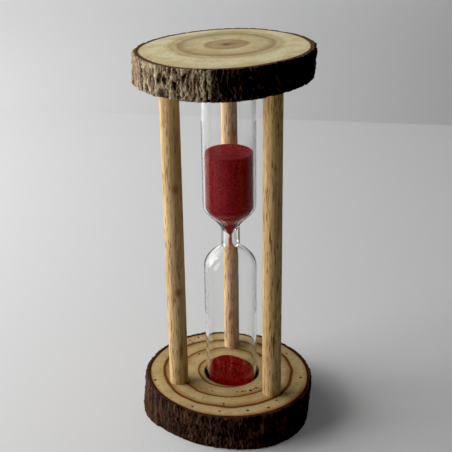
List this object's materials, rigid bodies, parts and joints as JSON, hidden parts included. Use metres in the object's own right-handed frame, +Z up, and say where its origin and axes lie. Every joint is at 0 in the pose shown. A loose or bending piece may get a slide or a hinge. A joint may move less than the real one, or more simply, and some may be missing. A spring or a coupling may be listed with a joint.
{
  "type": "hourglass",
  "caption": "Sand timer: a sealed glass vial of red sand between two bark-edged branch slices joined by dowels.",
  "frame": {"origin": "on the surface that the timer stands on, under the axis of the glass", "axes": "+Z up along the glass, -Y towards the front, +X to the right seen from the front"},
  "size_m": [0.0743, 0.0742, 0.1609],
  "materials": {
    "lower_wood": "sanded end grain, unfinished",
    "lower_bark": "rough dark bark",
    "upper_wood": "sanded end grain, unfinished",
    "upper_bark": "rough bark with pale ridges",
    "dowel_wood": "sanded, unfinished",
    "felt": "pressed felt",
    "glass": "clear, polished",
    "sand": "fine dyed grains"
  },
  "bodies": {
    "stand": {"bottom_wood": "lower_wood", "bottom_bark": "lower_bark", "bottom_pad": "felt", "dowel_left": "dowel_wood", "dowel_right": "dowel_wood", "dowel_rear": "dowel_wood", "top_wood": "upper_wood", "top_bark": "upper_bark", "top_pad": "felt"},
    "vial": {"glass_vial": "glass", "upper_sand_funnel": "sand", "upper_sand_column": "sand", "falling_stream": "sand", "lower_sand_base": "sand", "lower_sand_column": "sand"},
    "upper_level": {"upper_sand_surface": "sand"},
    "lower_level": {"lower_sand_heap": "sand"}
  },
  "joints": [
    {"name": "vial_turn", "type": "hinge", "parent": "stand", "child": "vial", "pos_m": [0, 0, 0.08], "axis": [0, 0, 1], "continuous": true},
    {"name": "upper_sand_fall", "type": "slide", "parent": "vial", "child": "upper_level", "axis": [0, 0, -1], "range_m": [0, 0.0224], "deforming": ["upper_sand_column"]},
    {"name": "lower_sand_rise", "type": "slide", "parent": "vial", "child": "lower_level", "axis": [0, 0, 1], "range_m": [0, 0.0224], "deforming": ["lower_sand_column", "falling_stream"]}
  ],
  "couplings": [
    {"joint": "lower_sand_rise", "follows": "upper_sand_fall", "ratio": 1}
  ]
}
